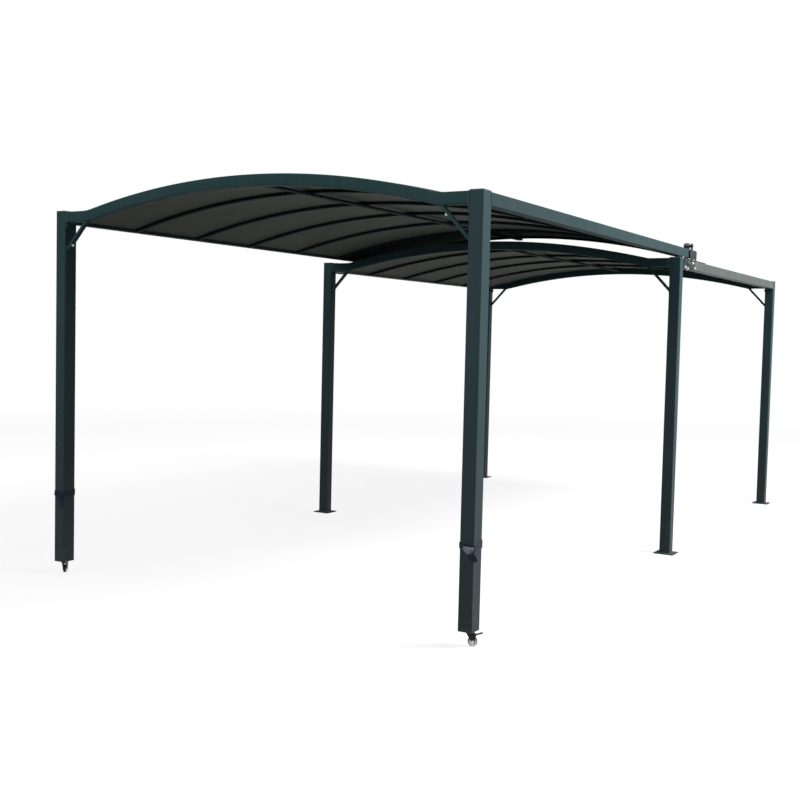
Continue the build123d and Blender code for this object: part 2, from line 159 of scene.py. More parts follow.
def powderCoat(name, edge=0.0014, darkBelowAndSplash=True, **changes):
    f, look = Finish(name), dict(paintLook, **changes)
    cloudy = f.ramp(f.noise(2.3, 5.0, 0.6), 0.35, 0.7)
    streaks = f.ramp(f.noise(1.0, 6.0, 0.65, f.stretched((26.0, 26.0, 1.4))), 0.45, 0.75)
    weathered = cloudy * 0.45 + streaks * 0.35
    colour = f.between(weathered, look["base"], look["faded"])
    if darkBelowAndSplash:  # darker towards the bottom
        darkBelowMask = f.ramp(f.part(f.place, "Z"), look["grimeTop"], 0.1)
        colour = f.between(darkBelowMask * look["grimeShare"], colour, look["grime"])
    if edge:  # lighter along the edges: paint rubbed thin, and partly a painted edge highlight
        softNormal = f.rounded(look["rubRadius"])
        faceNormal = f.add("ShaderNodeNewGeometry", out="True Normal")
        flatness = f.add("ShaderNodeVectorMath", {"operation": "DOT_PRODUCT"},
                         {0: softNormal, 1: faceNormal}, out="Value")
        rubbedAndHighlit = f.ramp(flatness, 0.97, 0.85) * f.ramp(f.noise(28.0, 6.0, 0.7), 0.4, 0.62)
        colour = f.between(rubbedAndHighlit * look["rubShare"], colour, look["bare"])
    lying = f.ramp(f.upward(), 0.55, 0.95)
    specks = f.ramp(f.noise(160.0, 3.0, 0.6), 0.62, 0.78)
    settled = lying * f.ramp(f.noise(9.0, 6.0, 0.65), 0.3, 0.7) * look["dustShare"]
    if darkBelowAndSplash:  # splashes round the foot
        splash = f.ramp(f.part(f.place, "Z"), look["splashTop"], 0.02)
        splash = splash * f.ramp(f.noise(30.0, 6.0, 0.7), 0.42, 0.72)
        settled = settled + splash * look["splashShare"]
    dusty = settled + specks * look["speckShare"]
    colour = f.between(dusty, colour, look["dust"])
    if "grease" in look:
        smears = f.ramp(f.noise(60.0, 7.0, 0.75), 0.38, 0.68)
        colour = f.between(smears * look["greaseShare"], colour, look["grease"])
    roughness = look["gloss"] + weathered * 0.12 + dusty * 0.35 + f.noise(45.0, 3.0) * 0.06
    orangePeel = f.noise(look["grain"], 2.0, 0.5) + f.noise(380.0, 2.0, 0.5) * 0.6
    base = f.rounded(edge) if edge else None
    normal = f.bump(orangePeel, 0.35, look["grainDepth"], base)
    return f.close(colour, roughness, normal, {"Specular IOR Level": look["specular"]})


framePaint = powderCoat("framePaint", base=tone(38, 55, 58), faded=tone(57, 69, 70), specular=0.05, gloss=0.6)
archPaint = powderCoat("archPaint", base=tone(39, 65, 68), faded=tone(58, 79, 80), specular=0.05, gloss=0.6)
postPaint = powderCoat("postPaint", edge=0.0)
# the ribs and ridge bar get a darker copy of the frame paint, which is painted shade under the roof; their
# lower gloss is their own matte coat
ribPaint = powderCoat("ribPaint", base=tone(22, 32, 35), faded=tone(33, 43, 45), specular=0.05, gloss=0.7)
# a paler copy of the frame paint for the fixed side beams, which is painted sheen on their outer faces; the
# heavier dust on their tops is real
weatheredPaint = powderCoat("weatheredPaint", base=tone(60, 68, 66), faded=tone(92, 96, 90),
                            dust=tone(150, 150, 140), dustShare=0.45)
bracketPaint = powderCoat("bracketPaint", darkBelowAndSplash=False, base=tone(36, 44, 46), faded=tone(60, 67, 66),
                          grease=tone(14, 16, 18), dustShare=0.5, specular=0.06)

sheetLook = {
    "top": tone(56, 70, 73), "topFaded": tone(68, 82, 84), "under": tone(113, 118, 110),
    "underDark": tone(94, 99, 92), "dust": tone(112, 117, 110), "specular": 0.025,
}


def roofCoat(name, look):
    f = Finish(name)
    up = f.ramp(f.upward(), -0.2, 0.2)
    patches = f.ramp(f.noise(1.6, 5.0, 0.62), 0.3, 0.72)
    rolled = f.ramp(f.noise(1.0, 5.0, 0.6, f.stretched((3.0, 60.0, 3.0))), 0.35, 0.7)
    mottled = f.ramp(f.noise(70.0, 5.0, 0.7), 0.4, 0.7)
    under = f.between(patches * 0.5 + rolled * 0.3 + mottled * 0.25, look["underDark"], look["under"])
    rainRuns = f.ramp(f.noise(1.0, 7.0, 0.7, f.stretched((5.0, 34.0, 5.0))), 0.42, 0.8)
    top = f.between(patches * 0.6 + rolled * 0.25, look["top"], look["topFaded"])
    top = f.between(rainRuns * 0.35 + mottled * 0.1, top, look["dust"])
    colour = f.between(up, under, top)
    roughness = 0.55 + mottled * 0.12 + rainRuns * 0.15
    normal = f.bump(f.noise(900.0, 2.0) + rolled * 0.5, 0.4, 0.0002)
    return f.close(colour, roughness, normal, {"Specular IOR Level": look["specular"]})


roofFinish = roofCoat("roofCoating", sheetLook)


def metal(name, bright, stain, roughness=0.34, rustShare=0.25):
    f = Finish(name)
    blotch = f.ramp(f.noise(120.0, 5.0, 0.65), 0.45, 0.72)
    spangle = f.noise(420.0, 3.0, 0.6)
    colour = f.between(blotch * rustShare, bright, stain)
    normal = f.bump(spangle, 0.3, 0.0001, f.rounded(0.0006))
    return f.close(colour, roughness + blotch * 0.3 + spangle * 0.08, normal,
                   {"Metallic": 0.9 - blotch * rustShare})


zincSteel = metal("zincSteel", tone(205, 208, 206), tone(120, 104, 84))
axleSteel = metal("axleSteel", tone(150, 152, 150), tone(90, 82, 72), 0.3, 0.35)
dullSteel = metal("dullSteel", tone(96, 102, 102), tone(58, 56, 50), 0.5, 0.6)
weldBead = metal("paintedWeld", tone(52, 68, 72), tone(70, 74, 70), 0.45, 0.5)
paintedSteel = powderCoat("paintedSteel", edge=0.0004, darkBelowAndSplash=False)


def moulded(name, base, worn, roughness, grain=700.0, specular=0.35):
    f = Finish(name)
    scuffs = f.ramp(f.noise(1.0, 5.0, 0.7, f.stretched((260.0, 40.0, 90.0))), 0.56, 0.75)
    cloudy = f.ramp(f.noise(40.0, 4.0), 0.4, 0.7)
    colour = f.between(scuffs * 0.4 + cloudy * 0.25, base, worn)
    normal = f.bump(f.noise(grain, 2.0) + scuffs * 0.4, 0.4, 0.00015, f.rounded(0.0006))
    return f.close(colour, roughness + scuffs * 0.2 + cloudy * 0.08, normal, {"Specular IOR Level": specular})


capPlastic = moulded("capPlastic", tone(38, 52, 55), tone(66, 78, 80), 0.5)
rollerNylon = moulded("rollerNylon", tone(34, 37, 40), tone(80, 84, 86), 0.45)
tyreRubber = moulded("tyreRubber", tone(20, 21, 22), tone(66, 66, 64), 0.66, 500.0, 0.1)
hubPlastic = moulded("hubPlastic", tone(240, 241, 241), tone(196, 196, 192), 0.42)
casterBlack = moulded("casterBlack", tone(17, 18, 20), tone(48, 48, 47), 0.4, 900.0, 0.18)

clothLook = {"base": tone(26, 35, 47), "pale": tone(62, 76, 92), "weave": 250.0}
# a paler copy of the tie cloth, which is painted light on the flap that faces the light
litClothLook = {"base": tone(112, 124, 138), "pale": tone(158, 168, 180), "weave": 250.0}


def woven(name, look):
    f = Finish(name)
    flat = f.add("ShaderNodeUVMap", {"uv_map": "cloth"})
    wide, long = [f.add("ShaderNodeTexWave", {"wave_type": "BANDS", "bands_direction": axis},
                        {"Vector": flat, "Scale": look["weave"], "Distortion": 0.4}) for axis in ("X", "Y")]
    threads = wide * long
    worn = f.ramp(f.noise(55.0, 5.0, 0.65), 0.42, 0.72)
    colour = f.between(worn * 0.22 + threads * 0.12, look["base"], look["pale"])
    normal = f.bump(threads + f.noise(240.0, 4.0) * 0.8, 0.5, 0.0003)
    return f.close(colour, 0.62 + worn * 0.2, normal,
                   {"Sheen Weight": 0.03, "Sheen Roughness": 0.5, "Specular IOR Level": 0.1})


tieCloth = woven("tieCloth", clothLook)
tieLining = woven("tieLining", litClothLook)
print("canopy: finishes ready")


# The camera was fitted to the posts' corners; focalPixels is its focal length in picture pixels.
view = {"place": (3.9425, -8.1281, 1.5664), "yaw": 30.389, "pitch": -3.246, "roll": 1.362,
        "focalPixels": 1100.6, "imagePixels": 800, "sensor": 36.0, "clipEnd": 200.0}
yaw, pitch, roll = (math.radians(view[key]) for key in ("yaw", "pitch", "roll"))
forward = Vector((-math.sin(yaw) * math.cos(pitch), math.cos(yaw) * math.cos(pitch), math.sin(pitch)))
level = Vector((math.cos(yaw), math.sin(yaw), 0.0))
upright = level.cross(forward)
right = math.cos(roll) * level + math.sin(roll) * upright
up = math.cos(roll) * upright - math.sin(roll) * level
cameraData = bpy.data.cameras.new("photoCamera")
cameraData.sensor_width = view["sensor"]
cameraData.lens = view["sensor"] * view["focalPixels"] / view["imagePixels"]
cameraData.clip_end = view["clipEnd"]
camera = bpy.data.objects.new("photoCamera", cameraData)
camera.matrix_world = Matrix.Translation(view["place"]) @ Matrix((right, up, -forward)).transposed().to_4x4()
scene.collection.objects.link(camera)
scene.camera = camera

stageLook = {"floorSide": 90.0, "floorSeen": tone(244, 244, 243), "floorBounce": tone(80, 80, 78),
             "glow": 0.8, "fadeFrom": 7.0, "fadeTo": 16.0, "ambient": 0.34}


def seenDirectly(owner):
    lightPath = owner.tree.nodes.new("ShaderNodeLightPath")
    rays = [Wire(owner, lightPath.outputs[name])
            for name in ("Is Camera Ray", "Is Glossy Ray", "Is Transmission Ray")]
    return (rays[0] + rays[1]).math("ADD", rays[2], clamp=True)


def makeStage(look):
    half = look["floorSide"] / 2
    mesh = bpy.data.meshes.new("studioFloor")
    corners = [(-half, -half, 0), (half, -half, 0), (half, half, 0), (-half, half, 0)]
    mesh.from_pydata(corners, [], [(0, 1, 2, 3)])
    f = Finish("studioFloor")
    seen = seenDirectly(f)
    diffuse = f.add("ShaderNodeBsdfDiffuse", None,
                    {"Color": f.between(seen, look["floorBounce"], look["floorSeen"])})
    glow = f.add("ShaderNodeEmission", None, {"Color": (1, 1, 1, 1), "Strength": 1.0})
    far = f.ramp(f.add("ShaderNodeVectorMath", {"operation": "LENGTH"}, {0: f.place}, out="Value"),
                 look["fadeFrom"], look["fadeTo"])
    f.output(f.add("ShaderNodeMixShader", None,
                   {0: seen * (look["glow"] + far * (1.0 - look["glow"])), 1: diffuse, 2: glow}))
    mesh.materials.append(f.material)
    floor = bpy.data.objects.new("studioFloor", mesh)
    scene.collection.objects.link(floor)
    world = bpy.data.worlds.new("studioWorld")
    world.use_nodes = True
    scene.world = world

    class Sky:
        tree = world.node_tree
        add = addNode
    sky = Sky()
    sky.tree.nodes.clear()
    seen = seenDirectly(sky)
    strength = look["ambient"] + seen * (1.0 - look["ambient"])
    background = sky.add("ShaderNodeBackground", None, {"Color": (1, 1, 1, 1), "Strength": strength})
    end = sky.tree.nodes.new("ShaderNodeOutputWorld")
    sky.tree.links.new(background.socket, end.inputs["Surface"])


makeStage(stageLook)

lamps = {
    "keyLamp": {"place": (8.5, 2.0, 8.5), "aim": (0.6, -0.6, 1.4), "side": 5.0, "watts": 2850.0},
    "overheadLamp": {"place": (1.0, 0.0, 9.0), "aim": (0.0, 0.0, 0.0), "side": 9.0, "watts": 600.0},
    "frontLamp": {"place": (-1.5, -13.0, 4.5), "aim": (0.0, 0.0, 1.4), "side": 6.0, "watts": 480.0},
}
for lampName, lamp in lamps.items():
    data = bpy.data.lights.new(lampName, "AREA")
    data.shape, data.size, data.energy = "SQUARE", lamp["side"], lamp["watts"]
    source = bpy.data.objects.new(lampName, data)
    source.location = lamp["place"]
    source.rotation_euler = (Vector(lamp["aim"]) - Vector(lamp["place"])).to_track_quat("-Z", "Y").to_euler()
    scene.collection.objects.link(source)
print("canopy: camera, floor and lamps placed")


# What follows makes the detailed pieces: sizes in metres, places read from the frame's boxes.


class Shaper:
    # a geometry tree under construction: sizes come in by name, the shape goes out painted
    def __init__(self, name, sizes):
        self.tree = bpy.data.node_groups.new(name, "GeometryNodeTree")
        face = self.tree.interface
        face.new_socket("Seed", in_out="INPUT", socket_type="NodeSocketGeometry")
        for key in sizes:
            face.new_socket(key, in_out="INPUT", socket_type="NodeSocketFloat")
        face.new_socket("Finish", in_out="INPUT", socket_type="NodeSocketMaterial")
        face.new_socket("Result", in_out="OUTPUT", socket_type="NodeSocketGeometry")
        entry = self.tree.nodes.new("NodeGroupInput")
        self.seed = Wire(self, entry.outputs["Seed"])
        self.finish = Wire(self, entry.outputs["Finish"])
        self.size = {key: Wire(self, entry.outputs[key]) for key in sizes}

    add = addNode

    def vector(self, x=0.0, y=0.0, z=0.0):
        return self.add("ShaderNodeCombineXYZ", None, {"X": x, "Y": y, "Z": z})

    def stored(self, name, kind="FLOAT_VECTOR"):
        # a value that the seed's points carry
        return self.add("GeometryNodeInputNamedAttribute", {"data_type": kind}, {"Name": name})

    def copies(self, shape, turned):
        # the shape at each of the seed's points
        return self.add("GeometryNodeInstanceOnPoints", None,
                        {"Points": self.seed, "Instance": shape, "Rotation": turned})

    def moved(self, shape, place):
        return self.add("GeometryNodeTransform", None, {"Geometry": shape, "Translation": place})

    def rod(self, sides, width, length, base):
        # an upright prism or disc that stands on height base
        disc = self.add("GeometryNodeMeshCylinder", None,
                        {"Vertices": sides, "Radius": width * 0.5, "Depth": length})
        return self.moved(disc, self.vector(z=base + length * 0.5))

    def joined(self, shapes):
        join = self.tree.nodes.new("GeometryNodeJoinGeometry")
        for shape in shapes:
            self.tree.links.new(shape.socket, join.inputs[0])
        return Wire(self, join.outputs[0])

    def close(self, shape):
        solid = self.add("GeometryNodeRealizeInstances", None, {"Geometry": shape})
        painted = self.add("GeometryNodeSetMaterial", None, {"Geometry": solid, "Material": self.finish})
        end = self.tree.nodes.new("NodeGroupOutput")
        self.tree.links.new(painted.socket, end.inputs[0])
        return self.tree


def place(name, mesh, body, slotName, replaced=()):
    # faces are turned outwards island by island before the piece joins the frame
    work = bmesh.new()
    work.from_mesh(mesh)
    bmesh.ops.recalc_face_normals(work, faces=work.faces)
    work.to_mesh(mesh)
    work.free()
    piece = bpy.data.objects.new(name, mesh)
    scene.collection.objects.link(piece)
    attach(piece, body)
    if replaced:
        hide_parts(*replaced)
    return piece


def grow(name, tree, seed, sizes, finish, body, slotName, replaced=()):
    carrier = bpy.data.objects.new(name + "Seed", seed)
    modifier = carrier.modifiers.new("shape", "NODES")
    modifier.node_group = tree
    for item in tree.interface.items_tree:
        if item.in_out == "INPUT" and item.name in sizes:
            modifier[item.identifier] = sizes[item.name]
        elif item.in_out == "INPUT" and item.name == "Finish":
            modifier[item.identifier] = finish
    scene.collection.objects.link(carrier)
    bpy.context.view_layer.update()
    grown = carrier.evaluated_get(bpy.context.evaluated_depsgraph_get())
    mesh = bpy.data.meshes.new_from_object(grown)
    mesh.name = name
    carrier.modifiers.remove(modifier)
    bpy.data.objects.remove(carrier)
    place(name, mesh, body, slotName, replaced)


def seedPath(name, runs):
    # runs of points joined by edges; a run that ends where it starts is a loop
    mesh = bpy.data.meshes.new(name)
    points, edges = [], []
    for run in runs:
        loop = (Vector(run[0]) - Vector(run[-1])).length < 1e-6
        run = run[:-1] if loop else run
        start = len(points)
        points += [tuple(point) for point in run]
        edges += [(start + i, start + i + 1) for i in range(len(run) - 1)]
        if loop:
            edges.append((start + len(run) - 1, start))
    mesh.from_pydata(points, edges, [])
    return mesh


def seedPoints(name, spots):
    # spots are (place, direction, turn in radians)
    mesh = bpy.data.meshes.new(name)
    mesh.from_pydata([tuple(spot[0]) for spot in spots], [], [])
    facing = mesh.attributes.new("facing", "FLOAT_VECTOR", "POINT")
    facing.data.foreach_set("vector", [value for spot in spots for value in spot[1]])
    spin = mesh.attributes.new("spin", "FLOAT", "POINT")
    spin.data.foreach_set("value", [spot[2] for spot in spots])
    return mesh


sideOf = {"left": -1.0, "right": 1.0}
slidingBeam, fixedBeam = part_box("sliding_side_beam_right"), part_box("fixed_side_beam_right")
beams = {"sliding": slidingBeam, "fixed": fixedBeam}
postCorner = 0.006


# Arches: one tube along a curve that follows the frame's rule, with a flange at each end.
archLook = {"width": 0.06, "depth": 0.065, "corner": 0.005, "rise": 0.155, "stub": 0.185, "blend": 0.4,
            "blendSteps": 10, "steps": 72, "flange": 0.005, "boltInset": 0.017}
archBody = {"sliding_front_arch": "sliding_frame", "fixed_front_arch": "fixed_frame",
            "fixed_rear_arch": "fixed_frame"}


def archPath(low, high, look):
    reach = high.x - look["flange"] / 2
    axis = high.z - look["rise"] - look["depth"] / 2
    kink = high.x - look["stub"]
    mainRadius = (kink ** 2 + look["rise"] ** 2) / (2 * look["rise"])
    span = mainRadius + look["blend"]
    blendStart = math.sqrt(2 * span * look["rise"] - look["rise"] ** 2)
    turn = math.asin(blendStart / span)
    half = [(reach, axis)]
    for step in range(look["blendSteps"] + 1):
        a = turn * step / look["blendSteps"]
        half.append((blendStart - look["blend"] * math.sin(a), axis + look["blend"] * (1 - math.cos(a))))
    for step in range(1, look["steps"] // 2):
        b = turn * (1 - 2 * step / look["steps"])
        half.append((mainRadius * math.sin(b), axis + look["rise"] - mainRadius * (1 - math.cos(b))))
    middle = (low.y + high.y) / 2
    whole = [(-x, middle, z) for x, z in half] + [(0.0, middle, axis + look["rise"])]
    return whole + [(x, middle, z) for x, z in reversed(half)]


def archTree():
    s = Shaper("archTree", ["width", "depth", "corner", "flange", "reach", "top", "drop", "middle"])
    path = s.add("GeometryNodeMeshToCurve", None, {"Mesh": s.seed})
    path = s.add("GeometryNodeSetCurveNormal", {"mode": "Z_UP"}, {"Curve": path})
    section = s.add("GeometryNodeCurvePrimitiveQuadrilateral", {"mode": "RECTANGLE"},
                    {"Width": s.size["width"], "Height": s.size["depth"]})
    section = s.add("GeometryNodeFilletCurve", {"mode": "POLY"},
                    {"Curve": section, "Count": 5, "Radius": s.size["corner"]})
    tube = s.add("GeometryNodeCurveToMesh", None,
                 {"Curve": path, "Profile Curve": section, "Fill Caps": True})
    plate = s.add("GeometryNodeMeshCube", None,
                  {"Size": s.vector(s.size["flange"], s.size["width"], s.size["drop"])})
    height = s.size["top"] - s.size["drop"] * 0.5
    offset = s.size["reach"] - s.size["flange"] * 0.5
    plates = [s.moved(plate, s.vector(offset * turn, s.size["middle"], height)) for turn in (-1.0, 1.0)]
    return s.close(s.joined([tube] + plates))


archShape = archTree()
for archName, body in archBody.items():
    low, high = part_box(archName)
    top = high.z - archLook["rise"]
    sizes = {key: archLook[key] for key in ("width", "depth", "corner", "flange")}
    sizes.update(reach=high.x, top=top, drop=top - low.z, middle=(low.y + high.y) / 2)
    path = seedPath(archName + "Path", [archPath(low, high, archLook)])
    grow(archName + "Tube", archShape, path, sizes, archPaint, body, "frame_paint", [archName])
print("canopy: arches made")


# Bolts: washer, hexagon head with a turned-down crown, and a stud end where it is a nut.
boltSizes = ["washer", "washerThick", "head", "headHigh", "crown", "stud", "studHigh"]
boltLook = {
    "frameBolt": (0.0220, 0.0020, 0.0185, 0.0072, 0.0155, 0.0100, 0.0035),
    "braceBolt": (0.0170, 0.0016, 0.0140, 0.0058, 0.0115, 0.0075, 0.0030),
    "clampBolt": (0.0360, 0.0035, 0.0240, 0.0085, 0.0200, 0.0120, 0.0030),
    "axleBolt": (0.0130, 0.0008, 0.0110, 0.0032, 0.0090, 0.0050, 0.0010),
    "roofScrew": (0.0190, 0.0022, 0.0095, 0.0045, 0.0078, 0.0040, 0.0004),
}
crownRise = 0.16  # of the head's height


def boltTree():
    s = Shaper("boltTree", boltSizes)
    shoulder = s.size["washerThick"] + s.size["headHigh"]
    washer = s.rod(16, s.size["washer"], s.size["washerThick"], 0.0)
    head = s.rod(6, s.size["head"], s.size["headHigh"], s.size["washerThick"])
    crown = s.rod(12, s.size["crown"], s.size["headHigh"] * crownRise, shoulder)
    stud = s.rod(8, s.size["stud"], s.size["studHigh"], shoulder)
    facing, spin = s.stored("facing"), s.stored("spin", "FLOAT")
    turned = s.add("FunctionNodeAlignRotationToVector", {"axis": "Z"}, {"Vector": facing})
    field = s.copies(s.joined([washer, head, crown, stud]), turned)
    field = s.add("GeometryNodeRotateInstances", None, {"Instances": field, "Rotation": s.vector(z=spin)})
    return s.close(field)


boltShape = boltTree()


def bolt(name, kind, spots, body, slotName="frame_paint", finish=zincSteel):
    turnedSpots = [(*spot, 0.37 + 1.13 * i) for i, spot in enumerate(spots)]  # no two heads stand alike
    sizes = dict(zip(boltSizes, boltLook[kind]))
    grow(name, boltShape, seedPoints(name + "Points", turnedSpots), sizes, finish, body, slotName)


def flangeSpots(archName):
    low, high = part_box(archName)
    middle = (low.y + high.y) / 2
    inward, inset = high.x - archLook["flange"], archLook["boltInset"]
    return [((side * inward, middle + step, low.z + inset), (-side, 0, 0))
            for side in sideOf.values() for step in (-inset, inset)]


braceLook = {"run": 0.165, "drop": 0.175, "depth": 0.016, "boltFromEnd": 0.052}


def braceSpots(name):
    low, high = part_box(name)
    face, middle, underside = high.x, (low.y + high.y) / 2, high.z
    spots = []
    for side in sideOf.values():
        foot = Vector((side * face, middle, underside - braceLook["drop"]))
        head = Vector((side * (face - braceLook["run"]), middle, underside))
        along = (head - foot).normalized()
        outward = Vector((-side * abs(along.z), 0, -abs(along.x)))
        for spot in (foot + along * braceLook["boltFromEnd"], head - along * braceLook["boltFromEnd"]):
            spots.append((spot + outward * braceLook["depth"] / 2, outward))
    return spots


slidingBraceSpots = braceSpots("sliding_knee_braces")
fixedBraceSpots = braceSpots("fixed_front_knee_braces") + braceSpots("fixed_rear_knee_braces")
# most of the bolts were painted with the frame, and one on each front brace shows bare zinc
bolt("slidingBraceBolts", "braceBolt", [slidingBraceSpots[0], slidingBraceSpots[3]], "sliding_frame")
bolt("slidingPaintedBolts", "axleBolt", slidingBraceSpots[1:3], "sliding_frame", finish=paintedSteel)
bolt("fixedPaintedBolts", "axleBolt", fixedBraceSpots, "fixed_frame", finish=paintedSteel)
bolt("slidingFlangeBolts", "braceBolt", flangeSpots("sliding_front_arch"), "sliding_frame",
     finish=paintedSteel)
bolt("fixedFlangeBolts", "braceBolt", flangeSpots("fixed_front_arch") + flangeSpots("fixed_rear_arch"),
     "fixed_frame", finish=paintedSteel)
beamBolt = {"along": -2.169, "down": 0.022}
bolt("beamBolts", "braceBolt",
     [((side * slidingBeam[0].x, beamBolt["along"], slidingBeam[1].z - beamBolt["down"]), (-side, 0, 0))
      for side in sideOf.values()], "sliding_frame")

# bolts by their place along the beam and from its top; the cheeks run past the rollers' axle
bracketLook = {
    "small": [(0.016, -0.063), (0.071, -0.072), (0.261, -0.059), (0.209, -0.024)], "large": [(0.106, -0.033)],
    "footBolts": [0.075, 0.235, 0.36], "footLine": 1.556, "footThick": 0.005,
    "cheekOut": 0.012, "cheekFrom": -0.045, "cheekTo": 0.135,
}
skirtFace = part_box("roller_bracket_right")[1].x
footTop = fixedBeam[1].z + bracketLook["footThick"]


def skirtSpots(kind):
    return [((side * skirtFace, y, fixedBeam[1].z + z), (side, 0, 0))
            for side in sideOf.values() for y, z in bracketLook[kind]]


footSpots = [((side * bracketLook["footLine"], y, footTop), (0, 0, 1))
             for side in sideOf.values() for y in bracketLook["footBolts"]]
bolt("bracketBolts", "frameBolt", skirtSpots("small") + footSpots, "fixed_frame", "bracket_steel")
bolt("bracketClamps", "clampBolt", skirtSpots("large"), "fixed_frame", "bracket_steel", dullSteel)
print("canopy: bolts placed")


# Roof screws stand along each rib on the top of its sheet.
screwLook = {"pitch": 0.3, "count": 9, "sheetDrop": 0.046, "sunk": 0.0002}


def roofSpots(section, beam):
    low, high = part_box(section + "_roof_sheet")
    halfSpan, apex = high.x, high.z
    sagitta = apex - (beam[1].z - screwLook["sheetDrop"])
    radius = (halfSpan ** 2 + sagitta ** 2) / (2 * sagitta)
    spots = []
    for name in sorted(nodes):
        if name.startswith(section + "_rib_"):
            ribLow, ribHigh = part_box(name)
            y = (ribLow.y + ribHigh.y) / 2
            for step in range(screwLook["count"]):
                x = (step - (screwLook["count"] - 1) / 2) * screwLook["pitch"]
                angle = math.asin(x / radius)
                z = apex - radius + radius * math.cos(angle) - screwLook["sunk"]
                spots.append(((x, y, z), (math.sin(angle), 0, math.cos(angle))))
    return spots


for section, beam in beams.items():
    bolt(section + "RoofScrews", "roofScrew", roofSpots(section, beam), section + "_frame", "roof_sheet",
         dullSteel)
print("canopy: roof screws placed")


# Weld beads follow the joints where one tube or plate meets another.
weldLook = {"frame": {"leg": 0.0030, "ripple": 0.16, "pitch": 0.0045},
            "fine": {"leg": 0.0022, "ripple": 0.16, "pitch": 0.0040}}
weldSeat = 0.0006  # how far a bead's middle stands off the joint
ribMiddle = 0.0125  # the middle of a rib's end above its lowest edge
# half width, half height and corner of the tubes that the beads go round
tubeOutline = {"rib": (0.015, 0.0105, 0.002), "arch": (0.030, 0.0325, 0.005), "beam": (0.0296, 0.0346, 0.004)}


def weldTree():
    s = Shaper("weldTree", ["leg", "ripple", "pitch"])
    path = s.add("GeometryNodeMeshToCurve", None, {"Mesh": s.seed})
    path = s.add("GeometryNodeResampleCurve", {"mode": "LENGTH"}, {"Curve": path, "Length": s.size["pitch"]})
    count = s.add("GeometryNodeInputIndex")
    uneven = s.add("FunctionNodeRandomValue", {"data_type": "FLOAT"}, {2: 0.8, 3: 1.15, 8: 7}, out=1)
    wave = count.math("MODULO", 2.0) * s.size["ripple"] + uneven
    section = s.add("GeometryNodeCurvePrimitiveCircle", {"mode": "RADIUS"},
                    {"Resolution": 6, "Radius": s.size["leg"]})
    return s.close(s.add("GeometryNodeCurveToMesh", None,
                         {"Curve": path, "Profile Curve": section, "Scale": wave, "Fill Caps": True}))


weldShape = weldTree()


def ring(centre, outline, across, along):
    # a rounded rectangle of points round a tube, on the plane that across and along span
    halfAcross, halfAlong, corner = outline
    points = []
    for quarter, (u, v) in enumerate(((1, 1), (-1, 1), (-1, -1), (1, -1))):
        for step in range(4):
            a = math.pi / 2 * (quarter + step / 3)
            points.append(Vector(centre) + Vector(across) * (u * (halfAcross - corner) + corner * math.cos(a))
                          + Vector(along) * (v * (halfAlong - corner) + corner * math.sin(a)))
    return points + points[:1]


def weld(name, kind, runs, body, slotName="frame_paint"):
    grow(name, weldShape, seedPath(name + "Path", runs), weldLook[kind], weldBead, body, slotName)


axisX, axisY, axisZ = Vector((1, 0, 0)), Vector((0, 1, 0)), Vector((0, 0, 1))
baseRuns, bracketRuns = [], []
ribRuns, tubeRuns = {"sliding": [], "fixed": []}, {"sliding": [], "fixed": []}
for name in nodes:
    if name.startswith("fixed_post_") and "caps" not in name:
        low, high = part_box(name)
        centre = ((low.x + high.x) / 2, (low.y + high.y) / 2, low.z + weldSeat)
        outline = ((high.x - low.x) / 2, (high.y - low.y) / 2, postCorner)
        baseRuns.append(ring(centre, outline, axisX, axisY))
    elif "_rib_" in name:
        low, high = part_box(name)
        for side in sideOf.values():
            centre = (side * (high.x - weldSeat), (low.y + high.y) / 2, low.z + ribMiddle)
            ribRuns[name.split("_")[0]].append(ring(centre, tubeOutline["rib"], axisY, axisZ))
for archName in archBody:
    low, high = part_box(archName)
    inward = high.x - archLook["flange"] - weldSeat
    height = high.z - archLook["rise"] - archLook["depth"] / 2
    for side in sideOf.values():
        centre = (side * inward, (low.y + high.y) / 2, height)
        tubeRuns[archName.split("_")[0]].append(ring(centre, tubeOutline["arch"], axisY, axisZ))
for section, beam in beams.items():
    for side in sideOf.values():
        middle = side * (beam[0].x + beam[1].x) / 2
        ends = [beam[0].y + weldSeat] + ([beam[1].y - weldSeat] if section == "fixed" else [])
        for end in ends:
            centre = (middle, end, (beam[0].z + beam[1].z) / 2)
            tubeRuns[section].append(ring(centre, tubeOutline["beam"], axisX, axisZ))
rollerY = joints["upper_roller_spin_right"]["pos_m"][1]
for side in sideOf.values():
    foot = side * (slidingBeam[1].x + bracketLook["cheekOut"])
    bracketRuns.append([(foot, rollerY + bracketLook[end], footTop) for end in ("cheekFrom", "cheekTo")])
weld("baseWelds", "frame", baseRuns, "fixed_frame")
for part, kind, runs in (("Tube", "frame", tubeRuns), ("Rib", "fine", ribRuns)):
    for section in ("fixed", "sliding"):
        weld(section + part + "Welds", kind, runs[section], section + "_frame")
weld("bracketWelds", "frame", bracketRuns, "fixed_frame", "bracket_steel")
print("canopy: weld beads run")


